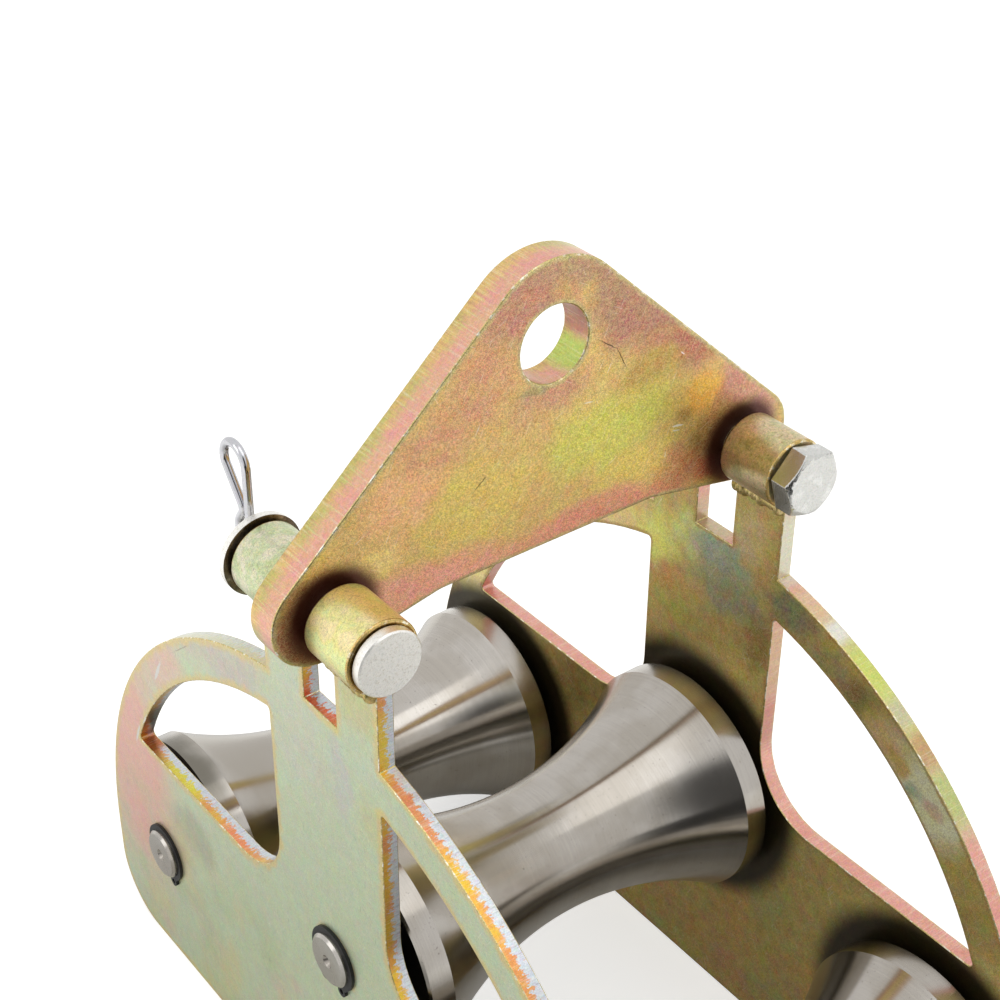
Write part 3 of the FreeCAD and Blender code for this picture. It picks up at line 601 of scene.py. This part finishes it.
# Tubes on the tines
# Four short ends of drawn 25 mm tube, sawn off and welded on the tines of the posts. The passivation on
# the round wall is olive and gold with a coarse grain, and the sawn rim shines where pins have rubbed it.
TUBE_RIM = 0.9 * MM
TUBE_TONES = {               # main colour, two patch colours, and the strength of the dark speckles
    "left_front": ("E4DC94", "ECDCA8", "D8E0A0", 0.3),
    "left_rear": ("C2CCA2", "DCD6BC", "BCC494", 0.3),
    "right_front": ("C6BC8C", "D2BC96", "B2AA7C", 0.6),
    "right_rear": ("B8B07C", "C8BA8C", "A4A072", 0.3),
}


def tube_skin(name, main, warm, cool, speckle):
    """Passivated drawn tube or weld: wide patches of three tones, dark speckles and pale blots."""
    material = new_material(name)
    tree = material.node_tree
    slow = noise(tree, 0.14)
    colour = tint(tree, linear(main), warm, band(tree, slow, 0.42, 0.6))
    colour = tint(tree, colour, cool, band(tree, slow, 0.46, 0.32))
    blot = noise(tree, 0.9, 4.0)
    colour = tint(tree, colour, "8E7E48", band(tree, blot, 0.54, 0.72, speckle))
    colour = tint(tree, colour, "F0DC9C", band(tree, blot, 0.44, 0.3, 0.4))
    colour = mottled(tree, colour, 1.2, 0.16)
    colour, height = grained(tree, colour, 0.18, hue=0.08)
    finish(tree, colour, height, 0.32, 0.85, 0.04)
    return material


sawn_rim = worn_edge("sawn_rim", "EEEAD6", "C4A86A")
sawn_end = worn_edge("sawn_end", "B8924E", "8A6830")
for place, tones in TUBE_TONES.items():
    tube = merged_copy("tube_" + place, "barrel_" + place)
    tube.data.materials.append(tube_skin("passivated_tube_" + place, *tones))
    tube.data.materials.append(sawn_rim)
    tube.data.materials.append(sawn_end)
    for face in tube.data.polygons:
        face.material_index = 2 * (abs(face.normal.y) > 0.9 and place.startswith("left"))
    break_edges(tube, TUBE_RIM, 1, 3)
    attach(tube, "frame")
    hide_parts("tube_" + place)

# Weld beads
# Two beads run along each tube, in the corners between it and its tine. They were laid in small puddles,
# so a bead is a row of overlapping ripples. The plating covers them, golden and blotchy.
BEAD_RADIUS = 3.5 * MM
RIPPLE_PITCH = 1.9 * MM
RIPPLE_SQUEEZE = 0.38        # length of a ripple over its width
RIPPLE_UNEVENNESS = 0.16
CORE_SHARE = 0.84            # radius of the round core in the ripples, over theirs
BEAD_STEPS = 20
BEAD_SKIN = 0.4 * MM         # voxel that melts the ripples together


def new_nodes(name, sockets):
    """A geometry node group with its own inputs: a name and a kind for each."""
    tree = bpy.data.node_groups.new(name, "GeometryNodeTree")
    tree.interface.new_socket("Geometry", in_out="INPUT", socket_type="NodeSocketGeometry")
    tree.interface.new_socket("Geometry", in_out="OUTPUT", socket_type="NodeSocketGeometry")
    for label, kind in sockets:
        tree.interface.new_socket(label, in_out="INPUT", socket_type="NodeSocket" + kind)
    return tree, add(tree, "NodeGroupInput").outputs, add(tree, "NodeGroupOutput")


def use_nodes(piece, tree, values):
    """Runs a geometry node group on a piece with the given inputs, and keeps the plain mesh."""
    modifier = piece.modifiers.new(tree.name, "NODES")
    modifier.node_group = tree
    for socket in tree.interface.items_tree:
        if socket.in_out == "INPUT" and socket.name in values:
            modifier[socket.identifier] = values[socket.name]
    apply_modifiers(piece)


bead_tree, given, result = new_nodes("weld_bead", (
    ("Radius", "Float"), ("Pitch", "Float"), ("Squeeze", "Float"), ("Unevenness", "Float"), ("Seed", "Int"),
    ("Finish", "Material"),
))
seam = add(bead_tree, "MeshToCurve", {"Mesh": given["Geometry"]})
puddles = add(bead_tree, "ResampleCurve", {"Curve": seam, "Length": given["Pitch"]}, mode="LENGTH")
drop = add(bead_tree, "MeshUVSphere", {"Segments": BEAD_STEPS, "Rings": 12, "Radius": given["Radius"]})
low = add(bead_tree, "Math", {0: 1.0, 1: given["Unevenness"]}, operation="SUBTRACT")
high = add(bead_tree, "Math", {0: 1.0, 1: given["Unevenness"]}, operation="ADD")
size = add(bead_tree, "RandomValue", {2: low, 3: high, "Seed": given["Seed"]})
squeezed = add(bead_tree, "CombineXYZ", {0: 1.0, 1: given["Squeeze"], 2: 1.0})
spread = add(bead_tree, "VectorMath", {0: squeezed, "Scale": size.outputs[1]}, operation="SCALE")
ripples = add(bead_tree, "InstanceOnPoints", {"Points": puddles, "Instance": drop, "Scale": spread})
core_round = add(bead_tree, "CurvePrimitiveCircle", {"Resolution": BEAD_STEPS, "Radius": given["Radius"]})
core_slim = add(bead_tree, "Transform", {"Geometry": core_round, "Scale": [CORE_SHARE] * 3})
core = add(bead_tree, "CurveToMesh", {"Curve": seam, "Profile Curve": core_slim, "Fill Caps": True})
solid = add(bead_tree, "RealizeInstances", {"Geometry": ripples})
whole = add(bead_tree, "JoinGeometry", {"Geometry": solid})
bead_tree.links.new(core.outputs[0], whole.inputs["Geometry"])
painted = add(bead_tree, "SetMaterial", {"Geometry": whole, "Material": given["Finish"]})
bead_tree.links.new(painted.outputs[0], result.inputs[0])

plate_box = {side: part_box("side_plate_" + side) for side in ("left", "right")}
seam_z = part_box("tube_welds")[0][2] + BEAD_RADIUS
inset = BEAD_RADIUS * RIPPLE_SQUEEZE
seam_points = []
for side in ("left", "right"):
    for x in (plate_box[side][0][0], plate_box[side][1][0]):
        for end in ("front", "rear"):
            near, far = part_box("tube_" + side + "_" + end)
            seam_points += [(x, near[1] + inset, seam_z), (x, far[1] - inset, seam_z)]
seams = bpy.data.meshes.new("seams")
seams.from_pydata(seam_points, [(index, index + 1) for index in range(0, len(seam_points), 2)], [])
beads = bpy.data.objects.new("weld_beads", seams)
scene.collection.objects.link(beads)
bead_skin = tube_skin("passivated_weld", "B49C58", "D4C084", "7E6A38", 0.7)
use_nodes(beads, bead_tree, {
    "Radius": BEAD_RADIUS, "Pitch": RIPPLE_PITCH, "Squeeze": RIPPLE_SQUEEZE,
    "Unevenness": RIPPLE_UNEVENNESS, "Seed": 11, "Finish": bead_skin,
})
melt = beads.modifiers.new("melted_together", "REMESH")
melt.mode = "VOXEL"
melt.voxel_size = BEAD_SKIN
melt.use_smooth_shade = True
apply_modifiers(beads)
beads.data.materials.clear()
beads.data.materials.append(bead_skin)
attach(beads, "frame")
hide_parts("tube_welds")

# Yoke
# Cut from 12 mm sheet and passivated with the plates. This is the piece that hands and shackles touch, so
# its face has the strongest grain and the most scratches, and its tints drift from rose to yellow-green.
YOKE_EDGE = 0.5 * MM
YOKE_CELL = 2.0 * MM
YOKE_SPOTS = (
    (-30, 264, 32, 20, "EACC64", 0.9),        # yellow middle of the left half
    (-56, 274, 18, 16, "FFBC86", 0.95),       # gold by the sloping edge
    (-46, 288, 18, 14, "E29E78", 0.9),
    (-30, 303, 20, 18, "DC9C74", 0.9),
    (-14, 326, 26, 22, "C07870", 0.95),       # rose crown
    (10, 334, 24, 12, "B4846E", 0.9),
    (34, 310, 26, 20, "B06C66", 0.95),        # rose to the right of the eye
    (54, 292, 26, 15, "B45C58", 0.95),        # and along the upper right side
    (78, 270, 22, 15, "D2847C", 0.95),
    (92, 256, 12, 14, "DE9C92", 0.9),
    (-4, 291, 20, 10, "D08E76", 0.9),         # rose under the eye
    (20, 321, 14, 15, "AC7668", 0.85),        # and above it
    (40, 286, 18, 10, "C09A3E", 0.85),        # olive
    (61, 271, 13, 10, "FFBE44", 0.97),        # gold spot by the right tube
    (24, 270, 36, 18, "D6D454", 0.97),        # lime middle
    (34, 254, 24, 9, "E8CE58", 0.8),
    (16, 240, 66, 10, "F09480", 0.95),        # salmon along the lower side
    (-48, 242, 36, 13, "FFA894", 0.97),
    (-66, 257, 14, 9, "FFD682", 0.9),         # orange at its left end
    (54, 245, 16, 11, "C4704A", 0.9),
    (54, 265, 6, 5, "A8742E", 0.7),
    (69, 252, 16, 17, "8A4A1A", 0.8),         # brown shade beside each tube
    (68, 240, 9, 7, "BE3830", 0.95),          # red patch under the right tube
    # painted shade beside the left tube, on the lobe
    (-86, 243, 24, 23, "A4664A", 0.95),
    (-100, 236, 14, 20, "9C5640", 0.9),
    (-7, 294, 10, 3, "8E9458", 0.7),          # green rim under the eye
)
YOKE_NICKS = (
    (52.5, 261.8, 6.0, 0.9, -12, "F0EEE6"),   # pair of bright nicks by the right tube
    (51.8, 260.2, 4.0, 0.6, -12, "E8E4D4"),
    (14, 283.7, 4.5, 0.7, -8, "E6DEBE"),
    (47.6, 252.5, 0.6, 3.0, 0, "E2D8B0"),
    (21.2, 301.6, 11.0, 0.5, -36, "4A3420"),  # dark bent hairline by the eye
    (26.6, 295.5, 0.5, 10.5, 28, "4A3420"),
    (52.7, 288.5, 2.6, 0.6, -40, "F0E2DC"),
    (-28, 270, 7.0, 0.5, 40, "5A4228"),
)
TUBE_END_SHADE = (13.0, 19.5, "44140A")      # painted shade and reflection round the end of a tube: radii in mm and colour
YOKE_SHADE_RINGS = [((x, y, 245), *TUBE_END_SHADE) for x in (-82, 82) for y in (-6, 6)]
YOKE_EDGE_SPOTS = (
    (12, 312, 7, 9, "B07A66", 0.9),           # rose-brown top of the eye's wall
    (10, 300, 9, 8, "BCD268", 0.9),           # lime below it
    (-6, 296, 8, 5, "D8A28A", 0.8),
)
yoke_face = sheet_face("passivated_yoke", 1, -6, "E2BA6C", YOKE_SPOTS, "C0B27C", 0.9,
                       grain=0.24, fibres=0.34, cloudy=0.3, nicks=YOKE_NICKS, rings=YOKE_SHADE_RINGS)
yoke_edge = cut_edge("laser_cut_edge_yoke", 1, -6, 6, 0.58, ("E2A294", "E0AE8E"), ("DEBA78", "C8BA70"),
                     YOKE_EDGE_SPOTS, stripe=0.6)
yoke = merged_copy("yoke_plate", "yoke")
for material in (yoke_face, yoke_edge, worn_zinc):
    yoke.data.materials.append(material)
for face in yoke.data.polygons:
    face.material_index = 0 if abs(face.normal.y) > 0.9 else 1
break_edges(yoke, YOKE_EDGE, 2)
measure_rim(yoke, YOKE_CELL, 2)
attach(yoke, "yoke")
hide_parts("yoke_plate")

# Rollers
# Turned from steel bar and left bare: an arc of 125 mm radius leads from each rim down to the waist. The
# tool's fine rings show on the flank, and the bore takes the bearings and their retaining rings.
ROLLER_HALF = 75.0 * MM
RIM_R = 43.0 * MM
RIM_W = 9.4 * MM             # cylindrical band at each end
WAIST_R = 24.4 * MM
RIM_CHAMFER = 0.8 * MM
SEAT_R = 21.02 * MM          # bearing seat
SEAT_DEPTH = 16.85 * MM
SEAT_CHAMFER = 0.5 * MM
BORE_R = 19.0 * MM           # bore between the bearings
RING_GROOVE_R = 22.25 * MM
RING_GROOVE = (70.15 * MM, 72.0 * MM)
FLANK_STEPS = 64
ROUND_STEPS = 128
RIM_SOFT = 0.15 * MM         # rounding where the flank meets the rim's band
SHADED_END_Y = 124                # middle and reach in mm along Y of the painted shade on the rear roller
SHADED_END_REACH = 44
LATHE_RING = 0.3             # spacing in mm of the tool's rings, coarser than real so that they show

reach = ROLLER_HALF - RIM_W
drop = RIM_R - WAIST_R
flank_r = (reach ** 2 + drop ** 2) / (2 * drop)
flank = []
for step in range(FLANK_STEPS + 1):
    x = -reach + 2 * reach * step / FLANK_STEPS
    flank.append((x, WAIST_R + flank_r - math.sqrt(flank_r ** 2 - x ** 2)))
half = [
    (reach + RIM_SOFT, RIM_R),
    (ROLLER_HALF - RIM_CHAMFER, RIM_R),
    (ROLLER_HALF, RIM_R - RIM_CHAMFER),
    (ROLLER_HALF, SEAT_R + SEAT_CHAMFER),
    (ROLLER_HALF - SEAT_CHAMFER, SEAT_R),
    (RING_GROOVE[1], SEAT_R),
    (RING_GROOVE[1], RING_GROOVE_R),
    (RING_GROOVE[0], RING_GROOVE_R),
    (RING_GROOVE[0], SEAT_R),
    (ROLLER_HALF - SEAT_DEPTH, SEAT_R),
    (ROLLER_HALF - SEAT_DEPTH, BORE_R),
]
outline = flank + half + [(-x, radius) for x, radius in reversed(half)]

turned_tree, given, result = new_nodes("turned_about_axle", (
    ("Radius", "Float"), ("Steps", "Int"), ("Axle", "Vector"), ("Finish", "Material"),
))
path = add(turned_tree, "CurvePrimitiveCircle", {"Resolution": given["Steps"], "Radius": given["Radius"]})
profile = add(turned_tree, "MeshToCurve", {"Mesh": given["Geometry"]})
swept = add(turned_tree, "CurveToMesh", {"Curve": path, "Profile Curve": profile})
placed = add(turned_tree, "Transform", {
    "Geometry": swept, "Translation": given["Axle"], "Rotation": (0, math.pi / 2, 0),
})
painted = add(turned_tree, "SetMaterial", {"Geometry": placed, "Material": given["Finish"]})
turned_tree.links.new(painted.outputs[0], result.inputs[0])


def turned_steel(name, colour, warm, roughness=0.2, spots=()):
    """Bare turned steel: the tool's faint rings round an axle along X, stains, specks and any spots of
    painted shade.
    """
    material = new_material(name)
    tree = material.node_tree
    lathe = noise(tree, (1 / LATHE_RING, 0.004, 0.004), 2.0)
    stain = noise(tree, 0.05)
    tone = tint(tree, linear(colour), warm, band(tree, stain, 0.4, 0.62))
    shade = {"Value": lathe, "From Min": 0.3, "From Max": 0.7, "To Min": 0.95, "To Max": 1.04}
    tone = blend(tree, tone, add(tree, "MapRange", shade), "MULTIPLY")
    pits = noise(tree, 1.1)
    tone = tint(tree, tone, "5A5048", band(tree, pits, 0.66, 0.74, 0.5))
    tone = pools(tree, tone, 1, SHADED_END_Y, spots, depth=SHADED_END_REACH)
    rough = add(tree, "MapRange", {"Value": stain, "To Min": roughness * 0.7, "To Max": roughness * 1.3})
    along = add(tree, "CombineXYZ", {"X": 1.0})
    finish(tree, tone, lathe, rough, relief=0.004, strength=0.2, Anisotropic=0.7, Tangent=along)
    return material


roller_skin = turned_steel("turned_steel", "B2ADA6", "A8A299")
PAINTED_END_SHADE = (
    (-46, 92, 34, 30, "A29C92", 0.8),         # painted shade and reflection on the left end of the rear roller, beside the left plate
    (-75, 92, 14, 22, "6E6A60", 0.85),
)
shaded_end_skin = turned_steel("steel_with_painted_end_shade", "BAB5AE", "B0AAA1", spots=PAINTED_END_SHADE)
for name in ("front", "centre", "rear"):
    low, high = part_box("roller_" + name)
    mesh = bpy.data.meshes.new("roller_profile_" + name)
    count = len(outline)
    corners = [(radius - WAIST_R, -x, 0) for x, radius in outline]
    mesh.from_pydata(corners, [(index, (index + 1) % count) for index in range(count)], [])
    roller = bpy.data.objects.new("hourglass_" + name, mesh)
    scene.collection.objects.link(roller)
    axle = [(near + far) / 2 for near, far in zip(low, high)]
    skin = shaded_end_skin if name == "rear" else roller_skin
    use_nodes(roller, turned_tree, {"Radius": WAIST_R, "Steps": ROUND_STEPS, "Axle": axle, "Finish": skin})
    roller.data.polygons.foreach_set("use_smooth", [True] * len(roller.data.polygons))
    roller.data.set_sharp_from_angle(angle=math.radians(20))
    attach(roller, name + "_roller")
    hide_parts("roller_" + name)

# Axles, bearings and their rings
# Bright drawn axles, ground bearing rings, black rubber seals and phosphated retaining rings. They are
# copies of the CAD pieces with smooth round faces; only the balls and cages stay as they are.


def bare_metal(name, colour, roughness, metallic=1.0, amount=0.08, relief=0.02):
    """Plain metal or rubber with a little grain."""
    material = new_material(name)
    tree = material.node_tree
    tone, height = grained(tree, linear(colour), amount, 0.5 * MM, 0.05)
    finish(tree, tone, height, roughness, metallic, relief)
    return material


def smooth_copy(node, name, material, body, crease=30):
    """A welded copy of a CAD piece with smooth round faces, which keeps only its real edges sharp."""
    piece = merged_copy(node, name, False)
    piece.data.polygons.foreach_set("use_smooth", [True] * len(piece.data.polygons))
    piece.data.set_sharp_from_angle(angle=math.radians(crease))
    piece.data.materials.append(material)
    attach(piece, body)
    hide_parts(node)
    return piece


axle_steel = turned_steel("drawn_bar", "B4B0AA", "A8A29A", 0.25)
ground_steel = bare_metal("ground_steel", "C8C8C8", 0.16)
black_steel = bare_metal("phosphated_spring_steel", "2A2A2C", 0.5, 0.6, 0.2)
seal_rubber = bare_metal("seal_rubber", "1A1A1B", 0.6, 0.0, 0.15)
for name in ("front", "centre", "rear"):
    spinning = name + "_roller"
    smooth_copy("axle_" + name, "axle_bar_" + name, axle_steel, "frame")
    smooth_copy("side_spacers_" + name, "side_sleeves_" + name, axle_steel, "frame")
    smooth_copy("spacer_tube_" + name, "long_sleeve_" + name, axle_steel, "frame")
    smooth_copy("axle_rings_" + name, "axle_clips_" + name, black_steel, "frame")
    smooth_copy("bore_rings_" + name, "bore_clips_" + name, black_steel, spinning)
    for side in ("left", "right"):
        bearing = "bearing_" + name + "_" + side
        short = "race_" + name + "_" + side
        smooth_copy(bearing + "_inner_ring", short + "_inner", ground_steel, "frame")
        smooth_copy(bearing + "_outer_ring", short + "_outer", ground_steel, spinning)
        smooth_copy(bearing + "_seals", short + "_seals", seal_rubber, spinning)

# Clevis pin, washer and wire clip
# A turned pin in dull zinc with a flat head, a plain washer and an R-clip bent from bright 3 mm wire.


def dull_zinc(name, colour, speck, amount, roughness=0.36):
    """Plain zinc: light grey, matt, finely mottled with darker specks."""
    material = new_material(name)
    tree = material.node_tree
    fine = noise(tree, 1.6, 4.0)
    cloud = noise(tree, 0.22)
    tone = tint(tree, linear(colour), speck, band(tree, fine, 0.5, 0.72, 0.5))
    tone = tint(tree, tone, "EDEDEA", band(tree, cloud, 0.5, 0.68, 0.4))
    tone, height = grained(tree, tone, amount, 0.3 * MM, 0.08)
    finish(tree, tone, height, roughness, strength=0.4)
    return material


zinc = dull_zinc("dull_zinc", "F4F2EC", "C2BAAA", 0.07)
bright_zinc = dull_zinc("bright_zinc", "CCCCC8", "B4B0A6", 0.06, 0.2)
wire = bare_metal("bright_wire", "C4C4C8", 0.12, 1.0, 0.04)
smooth_copy("clevis_pin", "pin_turned", zinc, "pin")
pin_disc = smooth_copy("pin_washer", "pin_disc", zinc, "frame")
# The washer's face toward the tube gets a darker zinc: painted shade in the gap between them.
pin_disc.data.materials.append(dull_zinc("zinc_with_painted_shade", "7E7668", "565044", 0.14))
for face in pin_disc.data.polygons:
    face.material_index = 1 if face.normal.y < -0.9 else 0
smooth_copy("r_clip", "wire_clip", wire, "clip", 50)

# Hex bolt, washer and locking nut
# The M14 bolt and its nut are forged and zinc plated. The bolt's mark is left out, so its head is bare.
# The tail that stands out of the nut has a real thread: a ridge swept round the core.
THREAD_CREST = 7.0 * MM
THREAD_DEPTH = 1.0 * MM
THREAD_PITCH = 2.0 * MM
THREAD_FROM = 46.5 * MM      # inside the nut, so that the thread comes out of it
THREAD_TURNS = 2.2
THREAD_STEP = 0.1 * MM       # length of the shoulder from the full shank down to the root
ROOT_SHARE = 1.3             # depth of the root under the crest, over the ridge's own radius
HEX_EDGE = 0.35 * MM

thread_tree, given, result = new_nodes("cut_thread", (
    ("Crest", "Float"), ("Depth", "Float"), ("Pitch", "Float"), ("Turns", "Float"), ("Start", "Vector"),
    ("Finish", "Material"),
))
middle = add(thread_tree, "Math", {0: given["Crest"], 1: given["Depth"]}, operation="SUBTRACT")
rise = add(thread_tree, "Math", {0: given["Pitch"], 1: given["Turns"]}, operation="MULTIPLY")
helix = add(thread_tree, "CurveSpiral", {
    "Resolution": 48, "Rotations": given["Turns"], "Height": rise,
    "Start Radius": middle, "End Radius": middle,
})
upright = add(thread_tree, "SetCurveNormal", {"Curve": helix}, mode="Z_UP")
tooth = add(thread_tree, "CurvePrimitiveCircle", {"Resolution": 3, "Radius": given["Depth"]})
ridge = add(thread_tree, "CurveToMesh", {"Curve": upright, "Profile Curve": tooth, "Fill Caps": True})
placed = add(thread_tree, "Transform", {
    "Geometry": ridge, "Translation": given["Start"], "Rotation": (-math.pi / 2, 0, 0),
})
painted = add(thread_tree, "SetMaterial", {"Geometry": placed, "Material": given["Finish"]})
whole = add(thread_tree, "JoinGeometry", {"Geometry": given["Geometry"]})
thread_tree.links.new(painted.outputs[0], whole.inputs["Geometry"])
thread_tree.links.new(whole.outputs[0], result.inputs[0])

smooth_copy("yoke_bolt_washer", "bolt_disc", bright_zinc, "frame")
nut = smooth_copy("yoke_nut", "lock_nut", bright_zinc, "frame", 25)
nylon = bare_metal("nylon", "8FA6C4", 0.45, 0.0, 0.05)
smooth_copy("yoke_nut_insert", "nut_ring", nylon, "frame")
bolt = smooth_copy("yoke_bolt", "hex_bolt", bright_zinc, "frame", 25)
bolt_low, bolt_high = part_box("yoke_bolt")
bolt_x, bolt_z = (bolt_low[0] + bolt_high[0]) / 2, (bolt_low[2] + bolt_high[2]) / 2
shape = bmesh.new()
shape.from_mesh(bolt.data)
for cut in (THREAD_FROM, THREAD_FROM + THREAD_STEP):
    everything = shape.verts[:] + shape.edges[:] + shape.faces[:]
    bmesh.ops.bisect_plane(shape, geom=everything, plane_co=(0, cut, 0), plane_no=(0, 1, 0))
root = THREAD_CREST - THREAD_DEPTH * ROOT_SHARE
for vert in shape.verts:
    out = Vector((vert.co.x - bolt_x, 0, vert.co.z - bolt_z))
    if vert.co.y > THREAD_FROM + THREAD_STEP / 2 and out.length > root:
        vert.co -= out * (1 - root / out.length)
shape.to_mesh(bolt.data)
shape.free()
for piece in (bolt, nut):
    break_edges(piece, HEX_EDGE, 0)
use_nodes(bolt, thread_tree, {
    "Crest": THREAD_CREST, "Depth": THREAD_DEPTH, "Pitch": THREAD_PITCH, "Turns": THREAD_TURNS,
    "Start": (bolt_x, THREAD_FROM, bolt_z), "Finish": bright_zinc,
})

# Pieces that stay as they come
# The balls and cages are out of sight between the seals, so the CAD pieces only get a material.
for part in frame["record"]["subparts"]:
    if part["node"].endswith("_balls"):
        node = frame["nodes"][part["node"]]
        node.data.materials.clear()
        node.data.materials.append(ground_steel)
